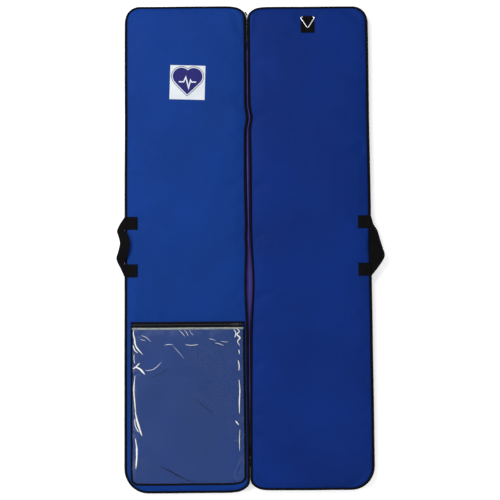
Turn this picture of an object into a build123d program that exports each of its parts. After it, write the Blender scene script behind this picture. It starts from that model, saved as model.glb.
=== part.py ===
from build123d import *
import os

# Soft carrying case for a long spine board, opened flat like a book with its
# outside faces up.  Each half is a shallow upside-down tray.
# Frame: origin on the floor under the middle of the spine, +Y along the case,
# +X from the front half (negative X) to the back half, +Z up.  Millimetres.

# ---- driving dimensions ----
PANEL_NEAR = 15.0          # spine centre to the inner edge of a panel
PANEL_FAR = 468.0          # spine centre to the outer edge of a panel
PANEL_REACH = 936.0        # middle of the case to the end of a panel
INNER_CORNER = 32.0        # panel corner radius beside the spine
TOP_CORNER = 50.0          # panel corner radius at the outer side, at the +Y end
BOTTOM_CORNER = 80.0       # and at the -Y end
CASE_HEIGHT = 38.0         # floor to the outer face of a panel

SKIN = 1.2                 # coated nylon with its seam allowance
FOAM = 8.0                 # closed-cell foam in each panel
LINING = 1.0
CLEAR = 0.1                # gap between layers that are only laid together
BODY_GAP = 0.3             # gap between pieces that move past each other

WALL_BASE = 13.0           # height at which the wall meets the zip tape
RIM_GROW = 14.0            # how far the zip rim stands out past the panel edge
ROW_WIDTH = 2.5            # one row of zip teeth
ROW_HEIGHT = 2.4
ROW_LIFT = 1.1             # the row is this far off the floor where a slider runs
TAPE_FOOT = 1.2            # height of the zip tape's lower edge
TAPE = 0.8

PIPE_RADIUS = 3.4
PIPE_GROW = 3.6            # piping centre line, outward from the panel edge
PIPE_Z = 35.0

ZIP_END = 812.0            # the case zip ends this far from the middle, in the spine
STRIP_BEND_Z = 30.0        # the spine strip hangs straight down to here, then slants
STRIP_FOOT = 0.6           # its lower edge stops short of the fold line

HANDLE_MIDDLE = -5.0       # along Y
PATCH_OFFSET = 92.0        # handle middle to the middle of a sewn patch
PATCH_WIDTH = 42.0         # across the case
PATCH_LENGTH = 54.0        # along the case
PATCH_THICK = 3.0
PATCH_TIP = 476.0          # a patch passes over the piping and ends here
PATCH_OVER = 0.7           # its lower face over the piping, above the panel
STRAP_ROOT = 478.3         # spine centre to the inner edge of the free webbing
STRAP_TIP = 527.0          # spine centre to the outermost point of a handle
STRAP_THICK = 3.0
STRAP_BOTTOM = 39.0
STRAP_RISE = 19.0

RING_X = 241.0
RING_BAR_Y = 895.0
RING_WIDTH = 58.0
RING_DROP = 45.0
RING_WIRE = 2.25           # wire radius
RING_BEND = 4.0            # bend radius of the wire's centre line
RING_CLEAR = 0.08          # running clearance of the bar in its webbing loop
RING_PATCH_WIDTH = 55.0
RING_PATCH_LENGTH = 65.0
LOOP_HALF = 20.0
LOOP_WALL = 1.3

POCKET_LEFT = -453.0
POCKET_RIGHT = -19.0
POCKET_BOTTOM = -914.0
POCKET_ZIP_Y = -305.0
POCKET_ZIP_BAND = 22.0
BINDING = 8.0
POCKET_INSET = 1.0         # the pocket's corners stay this far inside the panel's edge
BINDING_THICK = 2.3
WINDOW_THICK = 0.5
WINDOW_LIFT = 0.8
POCKET_ROW_GAP = 0.7       # half the gap between the pocket's two rows of teeth
POCKET_ROW_WIDTH = 2.1
POCKET_ROW_HEIGHT = 2.0
POCKET_ROW_LIFT = 1.4      # the row stands this far off the panel
POCKET_TAPE_LIFT = 2.0
POCKET_HEM = 3.0
POCKET_STOP = 4.0
POCKET_END = 14.0          # bare tape between the pocket corner and the teeth
POCKET_SLIDER_X = -45.0

LABEL_X = -231.0
LABEL_Y = 638.0
LABEL_WIDTH = 137.0
LABEL_LENGTH = 135.0
LABEL_TILT = -1.8          # degrees
LABEL_THICK = 0.6
SYMBOL_THICK = 0.4
HEART_SIDE = 68.0
PULSE_WIDTH = 5.0
PULSE = [(-34, 2), (-15, 2), (-7, 20), (5, -20), (12, 9), (16, 2), (34, 2)]
OUTLINE_GAP = 3.5
OUTLINE_WIDTH = 2.6

SLIDER_LENGTH = 16.0
SLIDER_WIDTH = 10.0
SLIDER_BLOCK = 3.0
SLIDER_PLATE = 0.8
SLIDER_NECK = 0.4          # half thickness of the web between a slider's two plates
BAIL_LENGTH = 8.0
BAIL_WIDTH = 2.4
BAIL_HEIGHT = 2.6
TAB_PIN = 0.9
TAB_PIN_CLEAR = 0.07
TAB_WIDTH = 7.0
TAB_LENGTH = 24.0
TAB_THICK = 1.2
TAB_CHEEK = 1.4

FRONT, BACK = -1, 1
TOP, BOTTOM = 1, -1
OUTER_CORNERS = {TOP: TOP_CORNER, BOTTOM: BOTTOM_CORNER}


def save(shape, name):
    """Write one node, named by its file."""
    export_step(shape, f"parts/{name}.step")


def block(x, y, z):
    """Box between three (low, high) pairs, given in either order."""
    (x0, x1), (y0, y1), (z0, z1) = sorted(x), sorted(y), sorted(z)
    middle = Pos((x0 + x1) / 2, (y0 + y1) / 2, (z0 + z1) / 2)
    return middle * Box(x1 - x0, y1 - y0, z1 - z0)


# ---- one half of the case ----
def outline(side, grow, z):
    """Plan shape of one half, grown outward from the panel's edge, at height z."""
    near, far = PANEL_NEAR - grow, PANEL_FAR + grow
    middle = (near + far) / 2
    face = Pos(side * middle, 0, 0) * Rectangle(far - near, 2 * (PANEL_REACH + grow))
    face = fillet([v for v in face.vertices() if abs(v.X) < middle], INNER_CORNER + grow)
    tip = PANEL_REACH + grow
    for end, radius in OUTER_CORNERS.items():
        outer = [v for v in face.vertices() if abs(v.X) > far - 1 and end * v.Y > tip - 1]
        face = fillet(outer, radius + grow)
    return Pos(0, 0, z) * face


def slab(side, grow, low, high):
    """A flat layer with the half's plan shape."""
    return extrude(outline(side, grow, low), high - low)


def spine_window(side):
    """The stretch of the spine side that the zip leaves free for the spine strip."""
    return block((0, side * (PANEL_NEAR + 2 * SKIN)), (-ZIP_END, ZIP_END), (-1, CASE_HEIGHT))


def panel(side):
    return slab(side, 0, CASE_HEIGHT - SKIN, CASE_HEIGHT)


def foam(side):
    top = CASE_HEIGHT - SKIN
    return slab(side, -SKIN - CLEAR, top - FOAM, top)


def lining(side):
    top = CASE_HEIGHT - SKIN - FOAM
    return slab(side, -SKIN - CLEAR, top - LINING, top)


def runs(side, ring):
    """A ring round one half, cut where its straight runs meet its corners."""
    near_turn, far_end = side * (PANEL_NEAR + INNER_CORNER), side * (PANEL_FAR + RIM_GROW)
    inner_turn, tip = PANEL_REACH - INNER_CORNER, PANEL_REACH + RIM_GROW
    outer_turns = {end: end * (PANEL_REACH - radius) for end, radius in OUTER_CORNERS.items()}
    high = (0, CASE_HEIGHT)
    regions = [block((side * PANEL_FAR / 2, far_end), outer_turns.values(), high)]
    for end, radius in OUTER_CORNERS.items():
        far_turn = side * (PANEL_FAR - radius)
        regions.append(block((far_turn, far_end), (outer_turns[end], end * tip), high))
        regions.append(block((near_turn, far_turn), (outer_turns[end], end * tip), high))
        regions.append(block((0, near_turn), (end * inner_turn, end * tip), high))
        regions.append(block((0, near_turn), (0, end * inner_turn), high))
    return Compound([solid for region in regions for solid in (ring & region).solids()])


def wall(side):
    """Fabric wall round three sides and both ends of the fourth."""
    low, high = WALL_BASE, CASE_HEIGHT - SKIN
    ring = slab(side, 0, low, high) - slab(side, -SKIN, low, high)
    return runs(side, ring - spine_window(side))


def flare(side, inset):
    """Solid whose side slopes from the wall's foot out to the row of teeth."""
    upper = outline(side, -inset, WALL_BASE)
    lower = outline(side, RIM_GROW - ROW_WIDTH - inset, TAPE_FOOT)
    return loft([lower, upper], ruled=True)


def zip_tape(side):
    """Tape that slopes from the foot of the wall out to the row of teeth."""
    return runs(side, flare(side, 0) - flare(side, SKIN) - spine_window(side))


def zip_teeth(side):
    """One row of teeth round the rim, raised where a slider's lower plate runs."""
    ring = slab(side, RIM_GROW, 0, ROW_HEIGHT) - slab(side, RIM_GROW - ROW_WIDTH, 0, ROW_HEIGHT)
    straight = PANEL_REACH - INNER_CORNER
    ring -= block((0, side * PANEL_NEAR), (-straight, straight), (-1, ROW_LIFT))
    return runs(side, ring - spine_window(side))


def piping(side):
    """Round cord sewn in all round the panel's edge."""
    path = outline(side, PIPE_GROW, PIPE_Z).face().outer_wire()
    section = Plane(origin=path @ 0, z_dir=path % 0) * Circle(PIPE_RADIUS)
    return sweep(section, path=path)


def spine_strip(side):
    """Half of the fabric strip that joins the two halves: a wall down to the fold line."""
    top = CASE_HEIGHT - SKIN
    corners = [
        (PANEL_NEAR, top),
        (PANEL_NEAR + SKIN, top),
        (PANEL_NEAR + SKIN, STRIP_BEND_Z),
        (STRIP_FOOT + SKIN, 0),
        (STRIP_FOOT, 0),
        (PANEL_NEAR, STRIP_BEND_Z),
    ]
    corners = [(side * x, z) for x, z in corners]
    profile = make_face(Polyline(*corners, close=True))
    return extrude(Plane.XZ * profile, ZIP_END, both=True)


# ---- handles ----
def handle_patches(side):
    """The two sewn ends of a handle, flat on the panel and out over the piping."""
    across = (side * (PANEL_FAR - PATCH_WIDTH), side * PANEL_FAR)
    beyond = (side * PANEL_FAR, side * PATCH_TIP)
    low, high = CASE_HEIGHT, CASE_HEIGHT + PATCH_THICK
    patches = []
    for end in (BOTTOM, TOP):
        centre = HANDLE_MIDDLE + end * PATCH_OFFSET
        along = (centre - PATCH_LENGTH / 2, centre + PATCH_LENGTH / 2)
        patches.append(block(across, along, (low, high)) + block(beyond, along, (low + PATCH_OVER, high)))
    return Compound([solid for patch in patches for solid in patch.solids()])


def handle_strap(side):
    """Free webbing: an arch along Y, cut to a trapezoid in plan."""
    foot, knee, crown = 118.0, 92.0, 55.0
    low, high = STRAP_BOTTOM, STRAP_BOTTOM + STRAP_RISE
    shift = 1.5
    under = [(-foot, low), (-knee, low), (-crown, high), (crown, high), (knee, low), (foot, low)]
    over = [(foot, low), (knee + shift, low), (crown + shift, high)]
    over += [(-y, z) for y, z in reversed(over)]
    over = [(y, z + STRAP_THICK) for y, z in over]
    arch = extrude(Plane.YZ * make_face(Polyline(*under, *over, close=True)), STRAP_TIP)
    half = [(STRAP_ROOT, foot - 6), (STRAP_TIP - 4, crown + 6), (STRAP_TIP, crown - 3)]
    plan = make_face(Polyline(*half, *[(x, -y) for x, y in reversed(half)], close=True))
    strap = Pos(0, HANDLE_MIDDLE, 0) * (arch & extrude(plan, 2 * CASE_HEIGHT))
    return strap if side == BACK else mirror(strap, Plane.YZ)


# ---- hanging ring on the back half ----
def ring_webbing():
    """Webbing folded round the ring's bar and sewn flat to the panel."""
    axis_z = ring_axis_z()
    across = (RING_X - RING_PATCH_WIDTH / 2, RING_X + RING_PATCH_WIDTH / 2)
    along = (RING_BAR_Y + 4 - RING_PATCH_LENGTH, RING_BAR_Y + 4)
    sewn = block(across, along, (CASE_HEIGHT, CASE_HEIGHT + PATCH_THICK))
    bore = RING_WIRE + RING_CLEAR
    bar = Pos(RING_X, RING_BAR_Y, axis_z) * Rot(0, 90, 0)
    loop = bar * Cylinder(bore + LOOP_WALL, 2 * LOOP_HALF)
    return sewn + loop - bar * Cylinder(bore, RING_WIDTH)


def ring_axis_z():
    return CASE_HEIGHT + PATCH_THICK + BODY_GAP + RING_WIRE


def hang_ring():
    """V-shaped wire ring: a bar and two legs that meet in a tight bend."""
    half = RING_WIDTH / 2
    corners = [(-half, 0), (half, 0), (0, -RING_DROP)]
    path = FilletPolyline(*corners, radius=RING_BEND, close=True)
    path = Pos(RING_X, RING_BAR_Y, ring_axis_z()) * path
    return sweep(Plane(origin=path @ 0, z_dir=path % 0) * Circle(RING_WIRE), path=path)


# ---- document pocket on the front half ----
def pocket_shape(inset, low, high):
    """The pocket below its zip, drawn in by inset, with the panel's rounded corners."""
    across = (POCKET_LEFT + inset, POCKET_RIGHT - inset)
    along = (POCKET_BOTTOM + inset, POCKET_ZIP_Y - POCKET_ZIP_BAND / 2)
    rounded = slab(FRONT, -POCKET_INSET - inset, low, high)
    return block(across, along, (low, high)) & rounded


def pocket_window():
    """Clear sheet lying just off the panel, between the bindings and the zip."""
    low = CASE_HEIGHT + WINDOW_LIFT
    return pocket_shape(BINDING, low, low + WINDOW_THICK)


def pocket_binding():
    """Tape along the window's two sides and bottom."""
    high = CASE_HEIGHT + BINDING_THICK
    return pocket_shape(0, CASE_HEIGHT, high) - pocket_shape(BINDING, CASE_HEIGHT, high)


def pocket_zip_tapes():
    """Two tapes, one each side of the teeth, each with a hem down to the panel."""
    low = CASE_HEIGHT + POCKET_TAPE_LIFT
    half = POCKET_ZIP_BAND / 2
    row_edge = POCKET_ROW_GAP + POCKET_ROW_WIDTH
    across = (POCKET_LEFT, POCKET_RIGHT)
    tapes = []
    for end in (BOTTOM, TOP):
        along = (POCKET_ZIP_Y + end * row_edge, POCKET_ZIP_Y + end * half)
        hem = (POCKET_ZIP_Y + end * (half - POCKET_HEM), POCKET_ZIP_Y + end * half)
        tapes.append(block(across, along, (low, low + TAPE)) + block(across, hem, (CASE_HEIGHT, low)))
    return Compound(tapes)


def pocket_zip_rows(across):
    """Two parallel bars with the pocket zip's section, over a stretch of X."""
    low = CASE_HEIGHT + POCKET_ROW_LIFT
    edges = (POCKET_ROW_GAP, POCKET_ROW_GAP + POCKET_ROW_WIDTH)
    rows = []
    for end in (BOTTOM, TOP):
        along = tuple(POCKET_ZIP_Y + end * edge for edge in edges)
        rows.append(block(across, along, (low, low + POCKET_ROW_HEIGHT)))
    return rows


def pocket_zip_teeth():
    left, right = POCKET_LEFT + POCKET_END, POCKET_RIGHT - POCKET_END
    return Compound(pocket_zip_rows((left, right)))


def pocket_zip_stops():
    """A stop at each end of the pocket's teeth."""
    low = CASE_HEIGHT + POCKET_ROW_LIFT
    reach = POCKET_ROW_GAP + POCKET_ROW_WIDTH
    along = (POCKET_ZIP_Y - reach, POCKET_ZIP_Y + reach)
    stops = []
    for edge, way in ((POCKET_LEFT + POCKET_END, -1), (POCKET_RIGHT - POCKET_END, 1)):
        stops.append(block((edge, edge + way * POCKET_STOP), along, (low, low + POCKET_ROW_HEIGHT)))
    return Compound(stops)


# ---- zip sliders: built at the origin, chain along Y, its underside at z = 0 ----
def slider(row_height, gap, row_width, both_rows):
    """Two plates round the chain, a block above them and a bail for the pull tab."""
    length = (-SLIDER_LENGTH / 2, SLIDER_LENGTH / 2)
    reach = gap + row_width + SLIDER_NECK
    right = reach if both_rows else SLIDER_NECK
    upper = row_height + BODY_GAP
    base = upper + SLIDER_PLATE
    top = base + SLIDER_BLOCK
    body = block((-reach, right), length, (-BODY_GAP - SLIDER_PLATE, -BODY_GAP))
    body += block((-SLIDER_NECK, SLIDER_NECK), length, (-BODY_GAP - SLIDER_PLATE, base))
    body += block((-reach, right), length, (upper, base))
    shell = block((-SLIDER_WIDTH / 2, SLIDER_WIDTH / 2), length, (base, top))
    shell = fillet(shell.edges().filter_by(Axis.Z), SLIDER_WIDTH / 4)
    bail = block((-BAIL_WIDTH / 2, BAIL_WIDTH / 2), (-BAIL_LENGTH / 2, BAIL_LENGTH / 2), (top, top + BAIL_HEIGHT))
    hole = Pos(0, 0, tab_axis_z(row_height)) * Rot(0, 90, 0) * Cylinder(TAB_PIN + TAB_PIN_CLEAR, SLIDER_WIDTH)
    return body + shell + bail - hole


def tab_axis_z(row_height):
    """Height of the pull tab's pin above the chain's underside."""
    return row_height + BODY_GAP + SLIDER_PLATE + SLIDER_BLOCK + BAIL_HEIGHT / 2


def pull_tab(row_height):
    """Flat tab along +Y with two cheeks and a pin through the bail."""
    z = tab_axis_z(row_height)
    inner = BAIL_WIDTH / 2 + BODY_GAP
    outer = inner + TAB_CHEEK
    tab = Pos(0, 0, z) * Rot(0, 90, 0) * Cylinder(TAB_PIN, 2 * outer)
    reach = BAIL_LENGTH / 2 + 2 * BODY_GAP
    for way in (-1, 1):
        tab += block((way * inner, way * outer), (-TAB_PIN, reach + 1), (z - TAB_PIN, z + TAB_PIN))
    plate = block((-TAB_WIDTH / 2, TAB_WIDTH / 2), (reach, TAB_LENGTH), (z - TAB_THICK / 2, z + TAB_THICK / 2))
    far = [e for e in plate.edges().filter_by(Axis.Z) if e.center().Y > reach + 1]
    return tab + fillet(far, TAB_WIDTH / 3)


def place_spine(shape, end):
    """Put a slider or its tab at the inner end of the spine zip."""
    turned = shape if end == TOP else mirror(shape, Plane.XZ)
    return Pos(0, end * (ZIP_END + SLIDER_LENGTH), ROW_LIFT) * turned


def place_pocket(shape):
    """Turn a slider or its tab onto the pocket's zip; the tab trails towards the zip's middle."""
    return Pos(POCKET_SLIDER_X, POCKET_ZIP_Y, CASE_HEIGHT + POCKET_ROW_LIFT) * Rot(0, 0, 90) * shape


def spine_zip_stops():
    """Crimped stop at each inner end of the front row of the case zip."""
    row = (-(PANEL_NEAR - RIM_GROW), -(PANEL_NEAR - RIM_GROW + ROW_WIDTH))
    stops = []
    for end in (BOTTOM, TOP):
        along = (end * (ZIP_END + 2), end * (ZIP_END + 5))
        stops.append(block(row, along, (ROW_HEIGHT, ROW_HEIGHT + SKIN)))
    return Compound(stops)


def zip_tail():
    """Loose end of zip tape that sticks out of the notch at the top of the spine."""
    tail = block((-2.5, 2.5), (0, 16), (0, TAPE))
    return Pos(3, PANEL_REACH - 24, WALL_BASE + 1) * Rot(0, 0, 25) * tail


# ---- label ----
def heart():
    """Square on its corner with a half disc on each upper side."""
    lobe = HEART_SIDE / 8 ** 0.5
    square = Rot(0, 0, 45) * Rectangle(HEART_SIDE, HEART_SIDE)
    discs = [Pos(way * lobe, lobe) * Circle(HEART_SIDE / 2) for way in (-1, 1)]
    return square + discs[0] + discs[1]


def pulse():
    return trace(Polyline(*PULSE), PULSE_WIDTH)


def place_label(shape, level):
    return Pos(LABEL_X, LABEL_Y, CASE_HEIGHT + level) * Rot(0, 0, LABEL_TILT) * shape


def label_base():
    return place_label(extrude(Rectangle(LABEL_WIDTH, LABEL_LENGTH), LABEL_THICK), 0)


def label_symbol():
    return place_label(extrude(heart() - pulse(), SYMBOL_THICK), LABEL_THICK)


def label_pulse():
    return place_label(extrude(pulse(), SYMBOL_THICK), LABEL_THICK)


def label_outline():
    inner = offset(heart(), OUTLINE_GAP)
    outer = offset(heart(), OUTLINE_GAP + OUTLINE_WIDTH)
    return place_label(extrude(outer - inner, SYMBOL_THICK), LABEL_THICK)


def build():
    """Write every sub-part."""
    os.makedirs("parts", exist_ok=True)
    for name, side in (("front", FRONT), ("back", BACK)):
        save(panel(side), f"{name}_panel")
        save(foam(side), f"{name}_foam")
        save(lining(side), f"{name}_lining")
        save(wall(side), f"{name}_wall")
        save(spine_strip(side), f"{name}_spine_strip")
        save(piping(side), f"{name}_piping")
        save(zip_tape(side), f"{name}_zip_tape")
        save(zip_teeth(side), f"{name}_zip_teeth")
        save(handle_patches(side), f"{name}_handle_patches")
        save(handle_strap(side), f"{name}_handle_strap")

    save(ring_webbing(), "ring_webbing")
    save(hang_ring(), "hang_ring")

    save(pocket_window(), "pocket_window")
    save(pocket_binding(), "pocket_binding")
    save(pocket_zip_tapes(), "pocket_zip_tapes")
    save(pocket_zip_teeth(), "pocket_zip_teeth")
    save(pocket_zip_stops(), "pocket_zip_stops")
    pocket_slider = slider(POCKET_ROW_HEIGHT, POCKET_ROW_GAP, POCKET_ROW_WIDTH, True)
    save(place_pocket(pocket_slider), "pocket_slider")
    save(place_pocket(pull_tab(POCKET_ROW_HEIGHT)), "pocket_pull_tab")

    lifted_row = ROW_HEIGHT - ROW_LIFT
    case_slider = slider(lifted_row, PANEL_NEAR - RIM_GROW, ROW_WIDTH, False)
    for name, end in (("top", TOP), ("bottom", BOTTOM)):
        save(place_spine(case_slider, end), f"{name}_slider")
        save(place_spine(pull_tab(lifted_row), end), f"{name}_pull_tab")
    save(spine_zip_stops(), "spine_zip_stops")
    save(zip_tail(), "zip_tail")

    save(label_base(), "label_base")
    save(label_symbol(), "label_symbol")
    save(label_pulse(), "label_pulse")
    save(label_outline(), "label_outline")


build()
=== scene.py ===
import math

import bmesh
import bpy
from mathutils import Matrix, Vector, noise
from mathutils.bvhtree import BVHTree


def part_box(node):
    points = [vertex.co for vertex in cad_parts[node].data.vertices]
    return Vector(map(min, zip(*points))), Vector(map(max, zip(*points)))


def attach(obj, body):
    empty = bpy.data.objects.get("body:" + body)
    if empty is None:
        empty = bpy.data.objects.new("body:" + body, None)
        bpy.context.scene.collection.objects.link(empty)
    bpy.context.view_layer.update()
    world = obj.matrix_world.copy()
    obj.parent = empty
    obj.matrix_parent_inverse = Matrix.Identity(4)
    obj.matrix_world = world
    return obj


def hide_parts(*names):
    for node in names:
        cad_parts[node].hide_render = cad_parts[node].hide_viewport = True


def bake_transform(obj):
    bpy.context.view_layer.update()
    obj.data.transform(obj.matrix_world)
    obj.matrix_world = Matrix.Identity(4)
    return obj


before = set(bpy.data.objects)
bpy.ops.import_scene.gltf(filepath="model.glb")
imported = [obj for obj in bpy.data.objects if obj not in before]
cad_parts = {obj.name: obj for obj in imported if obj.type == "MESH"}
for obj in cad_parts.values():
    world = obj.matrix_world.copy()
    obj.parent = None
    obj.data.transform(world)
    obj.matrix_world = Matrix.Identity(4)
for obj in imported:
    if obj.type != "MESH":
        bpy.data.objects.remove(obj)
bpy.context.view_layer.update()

# A soft carrying case for a spine board, opened flat with its outside faces up.
# Metres, in the CAD frame: +Y along the case, the front half at negative X.

MM = 0.001
FRONT, BACK = -1, 1
HALVES = ((FRONT, "front"), (BACK, "back"))

# ---- places read from the CAD nodes ----
PANEL_LOW, PANEL_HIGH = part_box("back_panel")
NEAR, FAR, REACH, TOP = PANEL_LOW.x, PANEL_HIGH.x, PANEL_HIGH.y, PANEL_HIGH.z
ZIP_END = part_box("back_spine_strip")[1].y
WALL_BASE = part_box("back_wall")[0].z
LINING_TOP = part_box("back_lining")[1].z
RIM_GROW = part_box("back_zip_teeth")[1].x - FAR
ROW_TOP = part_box("back_zip_teeth")[1].z
INNER_CORNER = 32 * MM
TOP_CORNER, BOTTOM_CORNER = 50 * MM, 80 * MM   # outer corners at the +Y and the -Y end
SEAM_Z = 35.4 * MM          # height of the seam between panel and piping
PIPE_GROW, PIPE_Z, PIPE_RADIUS = 3.4 * MM, 35 * MM, 4.2 * MM
CROWN = 2.6 * MM            # rise of a panel's middle over its edge


# ---------------------------------------------------------------- camera and light
def make_camera():
    """Nearly straight down, from the side of the pocket's end."""
    distance, tilt, roll = 4.0, math.radians(4.2), math.radians(-0.46)
    target = Vector((0.008, -0.018, 0.02))
    data = bpy.data.cameras.new("camera")
    data.lens = 74.2
    camera = bpy.data.objects.new("camera", data)
    bpy.context.scene.collection.objects.link(camera)
    offset = Vector((0, -math.sin(tilt), math.cos(tilt))) * distance
    turn = Matrix.Rotation(tilt, 4, "X") @ Matrix.Rotation(roll, 4, "Z")
    camera.matrix_world = Matrix.Translation(target + offset) @ turn
    bpy.context.scene.camera = camera


def area_light(name, place, target, size, power, colour=(1, 1, 1)):
    data = bpy.data.lights.new(name, "AREA")
    data.size = size
    data.energy = power
    data.color = colour
    light = bpy.data.objects.new(name, data)
    bpy.context.scene.collection.objects.link(light)
    direction = Vector(target) - Vector(place)
    light.location = place
    light.rotation_euler = direction.to_track_quat("-Z", "Y").to_euler()


def make_studio():
    """White surroundings, one broad key from the upper left and two narrow strips for the vinyl."""
    scene = bpy.context.scene
    scene.view_settings.view_transform = "Standard"
    world = bpy.data.worlds.new("studio")
    world.use_nodes = True
    background = world.node_tree.nodes["Background"]
    background.inputs["Color"].default_value = (1, 1, 1, 1)
    background.inputs["Strength"].default_value = 0.62
    scene.world = world
    area_light("key", (-1.5, 1.6, 2.6), (0, 0, 0), 2.2, 82)
    area_light("strip_left", (-1.7, -0.9, 1.5), (-0.25, -0.6, 0), 0.35, 12)
    area_light("strip_right", (1.3, -1.6, 2.2), (-0.2, -0.6, 0), 0.4, 12)


# ---------------------------------------------------------------- materials
class Material:
    """A Principled material whose colour, roughness and bump come from small node groups."""

    def __init__(self, name, colour, roughness, **constants):
        self.material = bpy.data.materials.new(name)
        self.material.use_nodes = True
        self.tree = self.material.node_tree
        self.shader = self.tree.nodes["Principled BSDF"]
        self.colour = colour
        self.shader.inputs["Base Color"].default_value = (*colour, 1)
        self.shader.inputs["Roughness"].default_value = roughness
        for socket, value in constants.items():
            self.shader.inputs[socket.replace("_", " ")].default_value = value
        self.place = self.node("ShaderNodeTexCoord").outputs["Object"]
        self.height = None

    def node(self, kind, **settings):
        made = self.tree.nodes.new(kind)
        for key, value in settings.items():
            setattr(made, key, value)
        return made

    def link(self, source, socket):
        self.tree.links.new(source, socket)

    def noise(self, scale, detail=3.0, stretch=(1, 1, 1)):
        mapping = self.node("ShaderNodeMapping")
        mapping.inputs["Scale"].default_value = stretch
        self.link(self.place, mapping.inputs["Vector"])
        texture = self.node("ShaderNodeTexNoise")
        texture.inputs["Scale"].default_value = scale
        texture.inputs["Detail"].default_value = detail
        self.link(mapping.outputs["Vector"], texture.inputs["Vector"])
        return texture.outputs["Fac"]

    def wave(self, pitch, direction):
        """Smooth ridges, one per pitch in metres, across X, Y, Z or the diagonal."""
        texture = self.node("ShaderNodeTexWave", bands_direction=direction)
        texture.inputs["Scale"].default_value = math.pi / 10 / pitch
        self.link(self.place, texture.inputs["Vector"])
        return texture.outputs["Fac"]

    def math(self, operation, first, second):
        made = self.node("ShaderNodeMath", operation=operation)
        for socket, value in zip(made.inputs, (first, second)):
            if isinstance(value, (int, float)):
                socket.default_value = value
            else:
                self.link(value, socket)
        return made.outputs[0]

    def vary_colour(self, factor, low, high):
        """Colour runs from low to high times the base colour as factor goes from 0.3 to 0.7."""
        ramp = self.node("ShaderNodeValToRGB")
        for element, spot, gain in zip(ramp.color_ramp.elements, (0.3, 0.7), (low, high)):
            element.position = spot
            element.color = (*[min(1.0, c * gain) for c in self.colour], 1)
        self.link(factor, ramp.inputs["Fac"])
        self.link(ramp.outputs["Color"], self.shader.inputs["Base Color"])
        return self

    def vary_roughness(self, factor, low, high):
        spread = self.node("ShaderNodeMapRange")
        spread.inputs["To Min"].default_value = low
        spread.inputs["To Max"].default_value = high
        self.link(factor, spread.inputs["Value"])
        self.link(spread.outputs["Result"], self.shader.inputs["Roughness"])
        return self

    def bump(self, height, distance, strength=1.0):
        made = self.node("ShaderNodeBump")
        made.inputs["Distance"].default_value = distance
        made.inputs["Strength"].default_value = strength
        self.link(height, made.inputs["Height"])
        if self.height is not None:
            self.link(self.height, made.inputs["Normal"])
        self.height = made.outputs["Normal"]
        self.link(self.height, self.shader.inputs["Normal"])
        return self

    def weave(self, pitch, distance):
        """Plain weave: warp and weft ridges that cross."""
        warp, weft = self.wave(pitch, "X"), self.wave(pitch, "Y")
        rise = self.wave(pitch * 1.3, "Z")
        crossing = self.math("MAXIMUM", self.math("MULTIPLY", warp, weft), self.math("MULTIPLY", rise, weft))
        return self.bump(crossing, distance)


def nylon(name, colour, low=0.86, high=1.12):
    """Coated woven nylon: fine weave, slow colour mottling, faint sheen."""
    made = Material(name, colour, 0.55, Sheen_Weight=0.015, Sheen_Roughness=0.4, Specular_IOR_Level=0.07)
    slow = made.math("MULTIPLY", made.noise(4.0, 4.0), 0.75)
    fine = made.math("MULTIPLY", made.noise(60.0), 0.25)
    made.vary_colour(made.math("ADD", slow, fine), low, high)
    made.vary_roughness(made.noise(9.0), 0.46, 0.66)
    made.bump(made.noise(26.0, 5.0, (1, 0.55, 1)), 1.6 * MM, 0.35)
    made.weave(0.9 * MM, 0.12 * MM)
    return made.material


def black_fabric(name, pitch, depth, colour=(0.0030, 0.0030, 0.0036), direction="DIAGONAL"):
    """Black tape or webbing with a ribbed weave and slightly greyed high spots."""
    made = Material(name, colour, 0.7, Sheen_Weight=0.01, Sheen_Roughness=0.5, Specular_IOR_Level=0.04)
    ribs = made.math("MULTIPLY", made.wave(pitch, direction), made.wave(pitch, "Y"))
    shade = made.math("ADD", made.math("MULTIPLY", ribs, 0.5), made.math("MULTIPLY", made.noise(35.0), 0.5))
    made.vary_colour(shade, 0.6, 1.9)
    made.vary_roughness(made.noise(50.0), 0.6, 0.82)
    made.bump(ribs, depth)
    made.bump(made.noise(300.0), 0.15 * MM, 0.5)
    return made.material


def metal(name, colour, roughness, metallic=1.0):
    """Smooth hard surface; metallic=0 makes it the plastic of the zip coils."""
    made = Material(name, colour, roughness, Metallic=metallic)
    made.vary_roughness(made.noise(180.0), roughness * 0.7, roughness * 1.5)
    made.bump(made.noise(500.0), 0.02 * MM, 0.4)
    return made.material


def plain_print(name, colour, roughness=0.45):
    """Printed film on a woven base."""
    made = Material(name, colour, roughness, Specular_IOR_Level=0.12)
    made.vary_colour(made.noise(22.0), 0.93, 1.04)
    made.bump(made.noise(140.0), 0.08 * MM, 0.5)
    made.weave(0.8 * MM, 0.05 * MM)
    return made.material


def vinyl(name, alpha, colour):
    """Clear flexible vinyl: a thin haze, uneven soft highlights and slow ripples."""
    made = Material(name, colour, 0.25, Specular_IOR_Level=0.6)
    made.shader.inputs["Alpha"].default_value = alpha
    made.vary_colour(made.noise(14.0), 0.85, 1.1)
    made.vary_roughness(made.noise(30.0), 0.18, 0.34)
    made.bump(made.noise(18.0, 2.0), 1.4 * MM, 0.4)
    return made.material


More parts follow.
